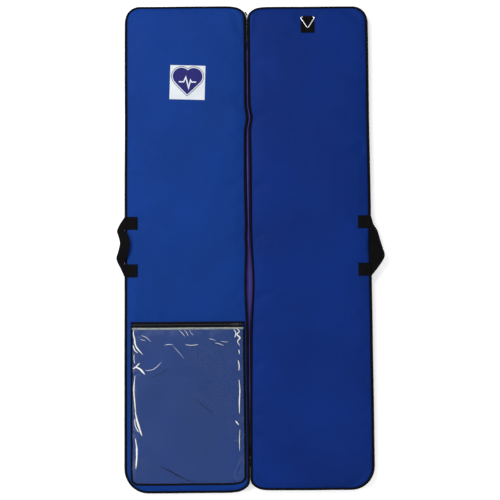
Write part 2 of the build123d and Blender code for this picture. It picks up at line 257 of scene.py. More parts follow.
make_camera()
make_studio()
BLUE_FRONT = nylon("nylon_front", (0.0020, 0.0278, 0.178))
BLUE_BACK = nylon("nylon_back", (0.0010, 0.0178, 0.142), 0.80, 1.14)
# The spine cloth's own purple-blue, made about 1.6 times brighter to make up for the shade in the valley
# between the pipings: partly painted light.
SPINE_BLUE_WITH_PAINTED_LIGHT = nylon("nylon_spine_painted_light", (0.070, 0.052, 0.27))
LINING = nylon("lining_nylon", (0.010, 0.028, 0.120))
PIPING = black_fabric("piping_cover", 1.1 * MM, 0.15 * MM)
WEBBING = black_fabric("webbing", 2.2 * MM, 0.5 * MM, (0.0032, 0.0030, 0.0036))
BINDING = black_fabric("binding_tape", 1.4 * MM, 0.25 * MM, direction="X")
ZIP_TAPE = black_fabric("zip_tape_cloth", 1.0 * MM, 0.2 * MM, direction="X")
ZIP_TEETH = metal("coil_nylon", (0.012, 0.012, 0.013), 0.35, 0.0)
SLIDER = metal("slider_coating", (0.05, 0.05, 0.055), 0.32)
CHROME = metal("ring_plating", (0.80, 0.80, 0.80), 0.16)
VINYL = vinyl("clear_vinyl_film", 0.09, (0.20, 0.22, 0.03))
VINYL_HEM = vinyl("vinyl_hem_film", 0.30, (0.50, 0.55, 0.46))
# Nearly opaque whitish film for the crease ridges: painted highlights where the creased vinyl would catch the
# lamps.
VINYL_PAINTED_HIGHLIGHT = vinyl("vinyl_painted_highlight_film", 0.86, (0.84, 0.87, 0.90))
# Near-black film for the dark crease ridges: painted shade along the vinyl's folds.
VINYL_SHADE = vinyl("vinyl_painted_shade_film", 0.75, (0.004, 0.008, 0.045))
LABEL_WHITE = plain_print("label_white_film", (0.56, 0.60, 0.63))
LABEL_NAVY = plain_print("label_navy_ink", (0.010, 0.009, 0.115))
LABEL_GREY = plain_print("label_grey_ink", (0.10, 0.10, 0.16))
THREAD_BLACK = plain_print("thread_black", (0.009, 0.009, 0.010), 0.6)


# ---------------------------------------------------------------- mesh helpers
def make_mesh(name, verts, faces, material, smooth=True):
    mesh = bpy.data.meshes.new(name)
    mesh.from_pydata([tuple(v) for v in verts], [], faces)
    work = bmesh.new()
    work.from_mesh(mesh)
    bmesh.ops.recalc_face_normals(work, faces=work.faces)
    work.to_mesh(mesh)
    work.free()
    mesh.materials.append(material)
    mesh.polygons.foreach_set("use_smooth", [smooth] * len(mesh.polygons))
    obj = bpy.data.objects.new(name, mesh)
    bpy.context.scene.collection.objects.link(obj)
    return obj


def lattice(rows, cols, wrap_rows=False, wrap_cols=False, first=0):
    """Quads of a rows by cols grid of vertices, numbered from first."""
    faces = []
    for i in range(rows if wrap_rows else rows - 1):
        for j in range(cols if wrap_cols else cols - 1):
            a, b = i * cols + j, i * cols + (j + 1) % cols
            c, d = (i + 1) % rows * cols + (j + 1) % cols, (i + 1) % rows * cols + j
            faces.append([first + k for k in (a, b, c, d)])
    return faces


def skin(name, sections, material, closed=False, smooth=True):
    """Closed cross-sections joined in order, with end caps unless the path closes."""
    size = len(sections[0])
    verts = [v for section in sections for v in section]
    faces = lattice(len(sections), size, closed, True)
    if not closed:
        faces += [list(range(size)), list(range(len(verts) - size, len(verts)))]
    return make_mesh(name, verts, faces, material, smooth)


def boxed(rows, cols):
    """Faces of two rows by cols grids, one numbered after the other, joined round their rims."""
    faces = lattice(rows, cols) + lattice(rows, cols, first=rows * cols)
    rim = list(range(cols)) + [i * cols + cols - 1 for i in range(1, rows)]
    rim += [(rows - 1) * cols + j for j in range(cols - 2, -1, -1)]
    rim += [i * cols for i in range(rows - 2, 0, -1)]
    for a, b in zip(rim, rim[1:] + rim[:1]):
        faces.append([a, b, b + rows * cols, a + rows * cols])
    return faces


def surface(obj):
    """Search tree of an object's faces."""
    mesh = obj.data
    return BVHTree.FromPolygons([v.co for v in mesh.vertices], [p.vertices for p in mesh.polygons])


def subdivide(obj, levels=1):
    """Apply a subdivision surface."""
    modifier = obj.modifiers.new("subdivision", "SUBSURF")
    modifier.levels = modifier.render_levels = levels
    graph = bpy.context.evaluated_depsgraph_get()
    mesh = bpy.data.meshes.new_from_object(obj.evaluated_get(graph))
    obj.modifiers.clear()
    obj.data = mesh
    return obj


def span(low, high, step, edge=0.0):
    """Evenly spaced values from low to high, with one more close to each end if edge is given."""
    count = max(1, round((high - low) / step))
    values = [low + (high - low) * i / count for i in range(count + 1)]
    if edge:
        values[1:1] = [low + edge]
        values[-1:-1] = [high - edge]
    return values


def smooth_through(points, per_span):
    """Catmull-Rom points through a list of equal-length tuples."""
    padded = [points[0], *points, points[-1]]
    out = []
    for a, b, c, d in zip(padded, padded[1:], padded[2:], padded[3:]):
        for i in range(per_span):
            t = i / per_span
            weights = (-t + 2 * t**2 - t**3, 2 - 5 * t**2 + 3 * t**3, t + 4 * t**2 - 3 * t**3, t**3 - t**2)
            out.append(tuple(sum(w * p[k] for w, p in zip(weights, (a, b, c, d))) / 2 for k in range(len(a))))
    return out + [points[-1]]


def bell(value, centre, width):
    """1 at the centre, falling smoothly to nothing a few widths away."""
    return math.exp(-(((value - centre) / width) ** 2))


def clamp(value):
    return max(0.0, min(1.0, value))


# ---------------------------------------------------------------- shape of the sewn case
def drift(point):
    """Where a point of the ideal case lies once its seams wander like sewn fabric."""
    x, y, z = point
    side = BACK if x > 0 else FRONT
    near_spine = math.exp(-max(0.0, abs(x) - NEAR) / 0.05)
    # Along the spine, in millimetres: shift moves both seams towards the back half and gap
    # opens them (negative closes).  lean is 0 at the floor and 1 at the panels.
    shift = 2.0 + 8.0 * bell(y, 0.50, 0.03) + 3.0 * bell(y, -0.12, 0.20)
    if side == FRONT:
        shift -= 2.5 * bell(y, 0.03, 0.03)
    gap = -4.0 + 7.6 * bell(y, -0.15, 0.13) + 3.4 * bell(y, 0.28, 0.22)
    gap -= 2.6 * clamp((-y - 0.45) / 0.25)
    lean = max(0.0, z) / TOP
    x += near_spine * (shift + side * (gap * lean - 1.1 * (1 - lean))) * MM
    x += 1.3 * MM * noise.noise((side * 5.0, y * 3.1, 0.0)) * (1 - near_spine)
    # The back half is a little short at both ends, and the inner corners are pulled back.
    short_end = 0.0 if side == FRONT else -4.5 if y > 0 else 7.5
    y += short_end * MM * max(0.0, (abs(y) - 0.6) / 0.35) + 1.4 * MM * noise.noise((x * 5.0, side * 7.0, 3.0))
    notch = 7 * MM * bell(abs(x), NEAR, 0.035) * clamp((abs(y) - 0.85) / 0.08)
    y -= math.copysign(notch, y)
    z += 0.8 * MM * noise.noise((x * 6.0, y * 5.0, 8.0)) * z / TOP
    return Vector((x, y, z))


def outer_corner(y):
    """Radius of the outer corner at y's end of the case."""
    return TOP_CORNER if y > 0 else BOTTOM_CORNER


def outline():
    """Corner arcs of the back panel's edge: points with their outward directions."""
    corners = (
        (NEAR + INNER_CORNER, REACH - INNER_CORNER, INNER_CORNER, 180),
        (FAR - TOP_CORNER, REACH - TOP_CORNER, TOP_CORNER, 90),
        (FAR - BOTTOM_CORNER, BOTTOM_CORNER - REACH, BOTTOM_CORNER, 0),
        (NEAR + INNER_CORNER, INNER_CORNER - REACH, INNER_CORNER, -90),
    )
    points = []
    for x, y, radius, start in corners:
        for i in range(11):
            angle = math.radians(start - 9 * i)
            out = Vector((math.cos(angle), math.sin(angle)))
            points.append((Vector((x, y)) + radius * out, out))
    return points


def divided(points, step=0.012):
    """The same path with its long straight runs divided."""
    path = []
    for (p, out), (q, _) in zip(points, points[1:]):
        count = max(1, round((q - p).length / step))
        path += [(p.lerp(q, i / count), out) for i in range(count)]
    return path + [points[-1]]


def whole_path():
    points = outline()
    return divided([*points, points[0]])[:-1]


def zip_path():
    """The edge without the stretch that the spine strip takes."""
    inward = Vector((-1, 0))
    return divided([(Vector((NEAR, ZIP_END)), inward), *outline(), (Vector((NEAR, -ZIP_END)), inward)])


def at_edge(side, point, out, grow, z):
    """A point of one half, grow outside its panel's edge."""
    return drift((side * (point.x + out.x * grow), point.y + out.y * grow, z))


def band(name, side, path, profile, material, closed):
    """Closed profile of (grow, z) pairs carried along the panel's edge."""
    sections = [[at_edge(side, p, out, g, z) for g, z in profile(p)] for p, out in path]
    return skin(name, sections, material, closed)


def edge_distance(x, y):
    """How far inside the panel's edge a plan point is, with x counted from the spine outward."""
    radius = outer_corner(y)
    y = abs(y)
    if x < NEAR + INNER_CORNER and y > REACH - INNER_CORNER:
        return INNER_CORNER - math.hypot(x - NEAR - INNER_CORNER, y - REACH + INNER_CORNER)
    if x > FAR - radius and y > REACH - radius:
        return radius - math.hypot(x - FAR + radius, y - REACH + radius)
    return min(x - NEAR, FAR - x, REACH - y)


ZIP_LOW, ZIP_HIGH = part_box("pocket_zip_tapes")
ZIP_Y = (ZIP_LOW.y + ZIP_HIGH.y) / 2
RING_LOW, RING_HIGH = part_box("ring_webbing")
RING_X, RING_Y = (RING_LOW.x + RING_HIGH.x) / 2, (RING_LOW.y + RING_HIGH.y) / 2
PATCH_LOW, PATCH_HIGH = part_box("back_handle_patches")
PATCH_LENGTH = 54 * MM
PATCH_MIDDLES = (PATCH_LOW.y + PATCH_LENGTH / 2, PATCH_HIGH.y - PATCH_LENGTH / 2)
HANDLE_Y = sum(PATCH_MIDDLES) / 2


def slackness(side, x, y):
    """0 where something sewn on holds the panel flat, 1 where it is free to swell."""
    free = 1.0
    for middle in PATCH_MIDDLES:
        free *= 1 - bell(x, PATCH_LOW.x + 0.02, 0.04) * bell(y, middle, 0.04)
    if side == FRONT:
        free *= 1 - bell(y, ZIP_Y, 0.022)
    else:
        free *= 1 - bell(x, RING_X, 0.05) * bell(y, RING_Y, 0.06)
    return free


def panel_height(side, x, y):
    """Height of the padded face before it swells: a seam groove, a crown and slow waves."""
    inside = max(0.0, edge_distance(x, y))
    roll = 1 - math.exp(-inside / 0.007)
    crown = CROWN * (1 - math.exp(-inside / 0.06))
    waves = 1.5 * MM * noise.noise((side * x * 4.0, y * 2.6, side * 3.0))
    waves += 0.8 * MM * noise.noise((side * x * 11.0 + y * 3.0, y * 7.0, side * 5.0))
    waves *= 1 - math.exp(-inside / 0.03)
    puckers = 0.7 * MM * noise.noise((x * 55.0, y * 55.0, side * 2.0)) * math.exp(-inside / 0.02) * roll
    along = 0.6 + 0.8 * noise.noise((x * 7.0, y * 7.0, side * 9.0))
    hem = (1.1 * bell(inside, 0.012, 0.006) - 0.8 * bell(inside, 0.024, 0.007)) * MM * along
    return SEAM_Z + (TOP - SEAM_Z) * roll + (crown + waves + hem) * slackness(side, x, y) + puckers


def panel_plan(step):
    """Rows of (x, y) that fill a panel, with rows that follow its rounded corners."""
    edge = [d * MM for d in (0, 3, 7, 12, 18, 24)]
    corner = [d * MM for d in (0, 1, 4, 9, 16, 25, 36, 48)]
    middle = span(61 * MM, 2 * REACH - 61 * MM, step)
    rises = corner + middle + [2 * REACH - d for d in reversed(corner)]
    width = FAR - NEAR
    across = edge + span(33 * MM, width - 33 * MM, step) + [width - d for d in reversed(edge)]
    rows = []
    for rise in rises:
        y = rise - REACH
        radius = outer_corner(y)
        cut_near = max(0.0, abs(y) - REACH + INNER_CORNER)
        cut_far = max(0.0, abs(y) - REACH + radius)
        low = NEAR + INNER_CORNER - math.sqrt(INNER_CORNER**2 - cut_near**2)
        high = FAR - radius + math.sqrt(radius**2 - cut_far**2)
        rows.append([(low + (high - low) * a / width, y) for a in across])
    return rows


# ---------------------------------------------------------------- cloth simulation
def billow(points, faces, hold, spare, pressure, stiffness, caps):
    """Points of a sheet after cloth with some spare width has swelled, held where hold is 1.
    No point moves further than its cap."""
    sheet = make_mesh("cloth_work", points, faces, BLUE_FRONT)
    group = sheet.vertex_groups.new(name="hold")
    for index, weight in enumerate(hold):
        group.add([index], weight, "REPLACE")
    cloth = sheet.modifiers.new("cloth", "CLOTH")
    settings = cloth.settings
    settings.quality = 5
    settings.mass = 0.25
    settings.tension_stiffness = settings.compression_stiffness = 25
    settings.shear_stiffness = 12
    settings.bending_stiffness = stiffness
    settings.shrink_min = -spare
    settings.use_pressure = True
    settings.uniform_pressure_force = pressure
    settings.vertex_group_mass = "hold"
    settings.pin_stiffness = 1
    settings.effector_weights.gravity = 0
    cloth.collision_settings.use_collision = False
    cloth.collision_settings.use_self_collision = False
    frames = 20
    cloth.point_cache.frame_start, cloth.point_cache.frame_end = 1, frames
    scene = bpy.context.scene
    for number in range(1, frames + 1):
        scene.frame_set(number)
    graph = bpy.context.evaluated_depsgraph_get()
    swelled = sheet.evaluated_get(graph).data
    moved = []
    for start, vertex, cap in zip(points, swelled.vertices, caps):
        step = vertex.co - Vector(start)
        moved.append(Vector(start) + (step * (cap / step.length) if step.length > cap else step))
    scene.frame_set(1)
    bpy.data.objects.remove(sheet)
    return moved


# ---------------------------------------------------------------- padded panels
def make_pad(side, half, material):
    """Closed padded panel: a swelled outer face over a flat back.  Returns its search tree."""
    plan = panel_plan(13 * MM)
    rows, cols = len(plan), len(plan[0])
    face = [drift((side * x, y, panel_height(side, x, y))) for row in plan for x, y in row]
    inside = [max(0.0, edge_distance(x, y)) for row in plan for x, y in row]
    slack = [slackness(side, x, y) for row in plan for x, y in row]
    hold = [1.0 if d < 2 * MM or s < 0.4 else 0.0 for d, s in zip(inside, slack)]
    caps = [(0.3 + 3.6 * s * min(1.0, d / 0.03)) * MM for d, s in zip(inside, slack)]
    spare = 0.012 if side == BACK else 0.006
    face = billow(face, lattice(rows, cols), hold, spare, 1.6, 4.0, caps)
    back = [Vector((p.x, p.y, LINING_TOP + 0.1 * MM)) for p in face]
    pad = subdivide(make_mesh(f"{half}_pad", face + back, boxed(rows, cols), material))
    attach(pad, f"{half}_half")
    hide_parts(f"{half}_panel", f"{half}_foam")
    return surface(pad)


def make_lining(side, half):
    """Thin lining under the foam, slightly slack between its seams."""
    plan = panel_plan(26 * MM)
    top, under = [], []
    for row in plan:
        for x, y in row:
            inside = max(0.0, edge_distance(x, y))
            x = min(max(x, NEAR + 1.4 * MM), FAR - 1.4 * MM)
            sag = 1.6 * MM * noise.noise((side * x * 9.0, y * 6.0, 4.0)) * (1 - math.exp(-inside / 0.03))
            place = drift((side * x, y, LINING_TOP - 0.6 * MM))
            under.append(Vector((place.x, place.y, LINING_TOP - 1.4 * MM - abs(sag))))
            top.append(Vector((place.x, place.y, LINING_TOP - 0.1 * MM)))
    faces = boxed(len(plan), len(plan[0]))
    lining = subdivide(make_mesh(f"{half}_lining_cloth", top + under, faces, LINING))
    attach(lining, f"{half}_half")
    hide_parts(f"{half}_lining")


GROUND = {FRONT: make_pad(FRONT, "front", BLUE_FRONT), BACK: make_pad(BACK, "back", BLUE_BACK)}


def ground(x, y):
    """Height of the padded face under a plan point, or of the piping beyond it."""
    side = BACK if x > 0 else FRONT
    hit = GROUND[side].ray_cast(Vector((x, y, 0.2)), Vector((0, 0, -1)))[0]
    over_piping = PIPE_Z + PIPE_RADIUS
    if hit is None:
        return over_piping
    return max(hit.z, over_piping) if abs(x) > FAR - 4 * MM else hit.z


def laid(x, y, lift):
    """A point lift above the padded face."""
    place = drift((x, y, TOP))
    return Vector((place.x, place.y, ground(place.x, place.y) + lift))


# ---------------------------------------------------------------- edges: piping, wall, zip
def ring_section(point):
    """Round piping with a slightly uneven cover."""
    radius = PIPE_RADIUS * (1 + 0.05 * noise.noise((point.x * 60.0, point.y * 60.0, 1.0)))
    turns = [math.tau * i / 10 for i in range(10)]
    return [(PIPE_GROW + radius * math.cos(a), PIPE_Z + radius * math.sin(a)) for a in turns]


def wall_section(point):
    """Gusset cloth that bulges and puckers between its two seams."""
    high, low = SEAM_Z - 1.5 * MM, WALL_BASE + 0.5 * MM
    bulge = (0.6 + 1.3 * noise.noise((point.x * 14.0, point.y * 14.0, 6.0))) * MM
    upper, middle = high * 0.7 + low * 0.3, (high + low) / 2
    outer = [(0.1 * MM, high), (bulge * 0.8, upper), (bulge, middle), (0.4 * MM, low)]
    return outer + [(g - 1.1 * MM, z) for g, z in reversed(outer)]


def tape_section(point):
    """Zip tape that flares from the wall's foot to the row of teeth."""
    curl = 0.8 * MM * noise.noise((point.x * 9.0, point.y * 9.0, 2.0))
    foot = RIM_GROW - 0.7 * MM
    knee = 5.2 * MM + curl
    outer = [(0.5 * MM, WALL_BASE + 3 * MM), (1.2 * MM, WALL_BASE), (knee, 8.6 * MM), (foot, 1.2 * MM)]
    return outer + [(g - 0.7 * MM, z - 0.6 * MM) for g, z in reversed(outer)]


def walk(points, pitch):
    """Equally spaced (place, direction) pairs along a list of points."""
    out, carried = [], 0.0
    for a, b in zip(points, points[1:]):
        length = (b - a).length
        while carried < length:
            out.append((a.lerp(b, carried / length), (b - a) / length))
            carried += pitch
        carried -= length
    return out


def teeth(name, places, stations, low, high, material):
    """One small rounded tooth at each (place, direction, across), from (reach, half width) stations."""
    verts, faces = [], []
    for place, along, across in places:
        first = len(verts)
        for reach, half in stations:
            for way, z in ((-1, low), (1, low), (1, high), (-1, high)):
                spot = place + across * reach + along * (way * half)
                verts.append((spot.x, spot.y, z))
        faces += lattice(len(stations), 4, wrap_cols=True, first=first)
        last = len(verts) - 4
        faces += [[first + k for k in range(4)], [last + k for k in range(4)]]
    return make_mesh(name, verts, faces, material, False)


def rim_teeth(side, half):
    """Coil teeth all along the rim of one half."""
    path = [at_edge(side, p, out, RIM_GROW - 2 * MM, 0) for p, out in zip_path()]
    path = [Vector((p.x, p.y, 0)) for p in path]
    places = []
    for place, along in walk(path, 2.7 * MM):
        places.append((place, along, Vector((along.y, -along.x, 0)) * -side))
    stations = ((-1.6 * MM, 0.45 * MM), (1.2 * MM, 0.8 * MM), (2.0 * MM, 0.4 * MM))
    row = teeth(f"{half}_coil_row", places, stations, 0.0, ROW_TOP, ZIP_TEETH)
    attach(row, f"{half}_half")
    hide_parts(f"{half}_zip_teeth")


def stitches(name, lines, body, material, pitch=4.6 * MM, width=0.55 * MM):
    """Rows of thread: each stitch is a small lozenge lying on the cloth."""
    verts, faces = [], []
    for line in lines:
        for place, along in walk(line, pitch):
            side = Vector((-along.y, along.x, 0)).normalized() * width
            reach, up = along * pitch * 0.38, Vector((0, 0, width * 0.9))
            first = len(verts)
            verts += [place - reach, place + side, place + reach, place - side, place + up, place - up]
            for a, b in ((0, 1), (1, 2), (2, 3), (3, 0)):
                faces += [[first + a, first + b, first + 4], [first + b, first + a, first + 5]]
    thread = make_mesh(name, verts, faces, material)
    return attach(thread, body) if body else thread


def make_edges(side, half):
    """Piping, gusset wall, zip tape and teeth round one half."""
    blue = BLUE_FRONT if side == FRONT else BLUE_BACK
    piping = band(f"{half}_piping_cord", side, whole_path(), ring_section, PIPING, True)
    wall = band(f"{half}_gusset_cloth", side, zip_path(), wall_section, blue, False)
    tape = band(f"{half}_rim_tape", side, zip_path(), tape_section, ZIP_TAPE, False)
    for piece, node, slot in (
        (piping, "piping", "black_piping"),
        (wall, "wall", "blue_nylon"),
        (tape, "zip_tape", "zip_tape"),
    ):
        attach(piece, f"{half}_half")
        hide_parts(f"{half}_{node}")
    rim_teeth(side, half)
    line = [at_edge(side, p, out, 1.6 * MM, WALL_BASE + 1.2 * MM) for p, out in zip_path()]
    stitches(f"{half}_tape_stitches", [line], f"{half}_half", THREAD_BLACK)


for half_side, half_name in HALVES:
    make_lining(half_side, half_name)
    make_edges(half_side, half_name)


# ---------------------------------------------------------------- spine strip
def make_spine():
    """One slack strip of cloth from piping to piping, bent across the fold."""
    profile = [(-15.5, 34.6), (-14.2, 29), (-11.5, 22), (-8, 20), (-4, 25), (0, 28)]
    profile = profile + [(-x, z) for x, z in reversed(profile[:-1])]
    profile = smooth_through(profile, 2)
    sections = []
    for y in span(-ZIP_END, ZIP_END, 11 * MM):
        lift = 2.0 * noise.noise((0.0, y * 8.0, 1.0)) + 1.2 * noise.noise((4.0, y * 37.0, 1.0))
        fade = min(1.0, (ZIP_END - abs(y)) / 0.05)
        upper = []
        for x, z in profile:
            rise = 4.5 - 11 * bell(y, -0.15, 0.17) + lift
            slack = bell(x, 0, 8) * (rise * fade - 14 * (1 - fade))
            upper.append(drift((x * MM, y, (z + slack) * MM)))
        lower = [p - Vector((0, 0, 0.8 * MM)) for p in reversed(upper)]
        sections.append(upper + lower)
    # The strip's colour is brightened against the valley's shade: painted light.
    strip = skin("spine_cloth", sections, SPINE_BLUE_WITH_PAINTED_LIGHT)
    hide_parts("front_spine_strip", "back_spine_strip")
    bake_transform(strip)


make_spine()


# ---------------------------------------------------------------- flat tapes and webbing
def ribbon(name, path, width, thickness, material, step=7 * MM, lift=0.0, arch=0.0):
    """Tape laid on the padded face along a plan path, with rounded edges and ends."""
    count = max(2, round(width / step))
    offsets = span(-width / 2, width / 2, width / count, 0.7 * MM)
    walked = walk([Vector((x, y, 0)) for x, y in path], step)
    end, before = Vector((*path[-1], 0)), Vector((*path[-2], 0))
    walked.append((end, (end - before).normalized()))
    start, way = walked[0]
    walked.insert(1, (start + way * 0.7 * MM, way))
    walked.insert(-1, (end - walked[-1][1] * 0.7 * MM, walked[-1][1]))
    sections = []
    for i, (place, along) in enumerate(walked):
        across = Vector((-along.y, along.x, 0))
        ends = 0.45 if i in (0, len(walked) - 1) else 1.0
        upper, lower = [], []
        for j, offset in enumerate(offsets):
            spot = place + across * offset
            rim = 0.45 if j in (0, len(offsets) - 1) else 1.0
            rise = thickness * min(ends, rim) + arch * (1 - (2 * offset / width) ** 2) * ends
            upper.append(laid(spot.x, spot.y, lift + rise))
            lower.append(laid(spot.x, spot.y, lift * (rim < 1)))
        sections.append(upper + lower[::-1])
    return skin(name, sections, material)


def rounded(points, radius):
    """A plan path whose inner corners are arcs."""
    out = [points[0]]
    for a, b, c in zip(points, points[1:], points[2:]):
        a, b, c = Vector(a), Vector(b), Vector(c)
        start, stop = b + (a - b).normalized() * radius, b + (c - b).normalized() * radius
        centre = start + stop - b
        for i in range(7):
            t = math.radians(15 * i)
            out.append(tuple(centre + (start - centre) * math.cos(t) + (stop - centre) * math.sin(t)))
    return out + [points[-1]]


def laid_line(points, lift):
    """A plan polyline divided finely and laid on the padded face."""
    walked = walk([Vector((x, y, 0)) for x, y in points], 6 * MM)
    return [laid(p.x, p.y, lift) for p, _ in walked] + [laid(*points[-1], lift)]


# ---------------------------------------------------------------- pocket
BIND_LOW, BIND_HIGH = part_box("pocket_binding")
BIND_WIDTH = 8 * MM


def make_window():
    """Clear vinyl, creased and slack between its bindings."""
    low_x, high_x = BIND_LOW.x + 3 * MM, BIND_HIGH.x - 3 * MM
    low_y, high_y = BIND_LOW.y + 4 * MM, ZIP_LOW.y + 3 * MM
    corner = 22 * MM
    xs = span(0, 1, 1 / 60)
    points, hold, caps = [], [], []
    ys = span(low_y, high_y, 7 * MM)
    for y in ys:
        cut = max(0.0, low_y + corner - y)
        inset = corner - math.sqrt(max(0.0, corner**2 - cut**2))
        for t in xs:
            x = low_x + inset + (high_x - low_x - 2 * inset) * t
            rim = min(x - low_x, high_x - x, y - low_y, high_y - y)
            loose = 1 - math.exp(-max(0.0, rim - 5 * MM) / 0.03)
            wave = abs(noise.noise((x * 12.0, y * 7.0, 11.0)))
            wave += 0.5 * abs(noise.noise((x * 34.0, y * 20.0, 3.0)))
            points.append(laid(x, y, (1.0 + 3.2 * wave * loose) * MM))
            hold.append(1.0 if rim < 7 * MM else 0.0)
            caps.append((0.5 + 5.5 * loose) * MM)
    faces = lattice(len(ys), len(xs))
    points = billow(points, faces, hold, 0.022, 0.8, 9.0, caps)
    for i, p in enumerate(points):
        points[i] = Vector((p.x, p.y, max(p.z, ground(p.x, p.y) + 0.8 * MM)))
    window = subdivide(make_mesh("vinyl_window", points, faces, VINYL))
    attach(window, "front_half")
    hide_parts("pocket_window")
    # Whitish ridges carry painted highlights and near-black ridges carry painted shade along the vinyl's
    # creases.
    crease_ridges("vinyl_crease_painted_highlights", CREASE_PAINTED_HIGHLIGHTS, window, VINYL_PAINTED_HIGHLIGHT)
    crease_ridges("vinyl_crease_painted_shade", CREASE_PAINTED_SHADE, window, VINYL_SHADE)


# Creases pressed into the vinyl, as (u, v) points in millimetres: u from the pocket's
# left side, v down from its zip.  The first number is the crease's half width.  The bright
# list carries painted highlights and the dark list painted shade, laid on low ridges of film.
CREASE_PAINTED_HIGHLIGHTS = [
    (3.2, [(5, 8), (3, 22), (8, 46), (10, 62), (20, 80), (40, 102)]),
    (2.9, [(2, 66), (8, 84), (20, 96)]),
    (1.7, [(6, 100), (5, 118), (9, 136)]),
    (2.8, [(1, 156), (12, 150), (28, 134)]),
    (3.3, [(10, 149), (30, 158), (48, 178)]),
    (2.9, [(9, 182), (5, 236), (8, 276), (13, 328)]),
    (4.1, [(10, 318), (18, 352), (27, 382), (37, 410)]),
    (2.6, [(9, 345), (11, 372), (24, 396)]),
    (3.8, [(11, 420), (16, 458), (16, 500), (13, 534)]),
    (0.9, [(34, 29), (53, 37), (72, 54)]),
    (0.8, [(30, 44), (50, 49)]),
    (0.8, [(179, 10), (191, 22), (202, 35)]),
    (0.9, [(198, 9), (208, 20), (214, 34)]),
    (0.7, [(217, 10), (227, 24), (234, 30)]),
    (1.0, [(122, 67), (140, 64), (157, 66)]),
    (1.1, [(202, 65), (226, 68), (252, 65)]),
    (0.9, [(294, 44), (306, 46), (318, 51)]),
    (0.9, [(315, 59), (332, 63), (350, 70)]),
    (0.8, [(338, 52), (352, 56), (367, 56)]),
    (2.8, [(397, 4), (410, 16), (400, 28), (412, 41), (403, 54), (411, 72)]),
    (1.9, [(388, 8), (396, 22), (392, 40)]),
    (2.3, [(407, 86), (410, 104)]),
    (2.5, [(404, 126), (408, 146), (407, 166)]),
    (2.5, [(407, 200), (410, 240), (408, 284), (408, 330)]),
    (2.6, [(393, 356), (405, 372)]),
    (1.4, [(409, 388), (407, 430), (408, 470)]),
    (1.0, [(48, 163), (76, 160), (95, 148), (112, 130)]),
    (0.7, [(156, 71), (176, 92), (196, 116)]),
]
# Near-black ridges: painted shade along these folds.
CREASE_PAINTED_SHADE = [
    (1.6, [(103, 526), (141, 541), (180, 564), (240, 592)]),
    (0.9, [(60, 196), (110, 172), (150, 150)]),
    (0.8, [(230, 262), (282, 306), (306, 330)]),
]


def crease_ridges(name, creases, window, material):
    """Low ridges that taper to nothing at both ends, lying on the window."""
    tree = surface(window)
    left, top = BIND_LOW.x + BIND_WIDTH, ZIP_LOW.y
    verts, faces = [], []
    for half_width, corners in creases:
        line = [Vector((left + u * MM, top - v * MM, 0)) for u, v in smooth_through(corners, 6)]
        first, count = len(verts), len(line)
        for i, place in enumerate(line):
            along = (line[min(i + 1, count - 1)] - line[max(i - 1, 0)]).normalized()
            taper = math.sin(math.pi * (i + 0.25) / (count - 0.5)) ** 0.6
            uneven = 1 + 0.45 * noise.noise((place.x * 70.0, place.y * 70.0, 5.0))
            reach = Vector((-along.y, along.x, 0)) * half_width * MM * taper * uneven
            hit = tree.ray_cast(place + Vector((0, 0, 0.2)), Vector((0, 0, -1)))[0]
            base = hit.z if hit else TOP + 1 * MM
            crest = 0.35 + 0.5 * taper
            for spot, lift in ((place - reach, -0.1), (place, crest), (place + reach, -0.1), (place, -0.4)):
                verts.append((spot.x, spot.y, base + lift * MM))
        faces += lattice(count, 4, wrap_cols=True, first=first)
        last = first + 4 * (count - 1)
        faces += [[first + k for k in range(4)], [last + k for k in range(4)]]
    ridges = make_mesh(name, verts, faces, material)
    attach(ridges, "front_half")


def binding_path(out, top, radius):
    """From top down one side of the pocket, along its bottom and up the other side, out beyond
    the middle of the binding."""
    inner = BIND_WIDTH / 2
    left, right = BIND_LOW.x + inner - out, BIND_HIGH.x - inner + out
    bottom = BIND_LOW.y + inner - out
    return rounded([(left, top), (left, bottom), (right, bottom), (right, top)], radius)


def make_pocket():
    """Binding, window, hem, zip and their stitches."""
    path = binding_path(0.0, ZIP_LOW.y + 2 * MM, 24 * MM)
    frame_tape = ribbon("pocket_frame_tape", path, BIND_WIDTH, 1.7 * MM, BINDING, 5 * MM, arch=0.6 * MM)
    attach(frame_tape, "front_half")
    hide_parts("pocket_binding")
    make_window()
    hem_y = ZIP_LOW.y - 4 * MM
    hem_line = [(path[0][0], hem_y), (path[-1][0], hem_y)]
    hem = ribbon("vinyl_hem", hem_line, 8 * MM, 1.3 * MM, VINYL_HEM, 6 * MM, lift=0.9 * MM)
    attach(hem, "front_half")
    make_pocket_zip()
    offset = BIND_WIDTH / 2 - 1.8 * MM
    inside = binding_path(-offset, ZIP_LOW.y, 20 * MM)
    outside = binding_path(offset, ZIP_LOW.y, 26 * MM)
    lines = [laid_line(inside, 2.2 * MM), laid_line(outside, 2.0 * MM)]
    ends = (ZIP_LOW.x + 3 * MM, ZIP_HIGH.x - 3 * MM)
    for y in (ZIP_LOW.y + 2.4 * MM, ZIP_LOW.y + 5.4 * MM, ZIP_HIGH.y - 2.4 * MM, ZIP_HIGH.y - 5.4 * MM):
        lines.append(laid_line([(ends[0], y), (ends[1], y)], 3.1 * MM))
    stitches("pocket_stitches", lines, "front_half", THREAD_BLACK)


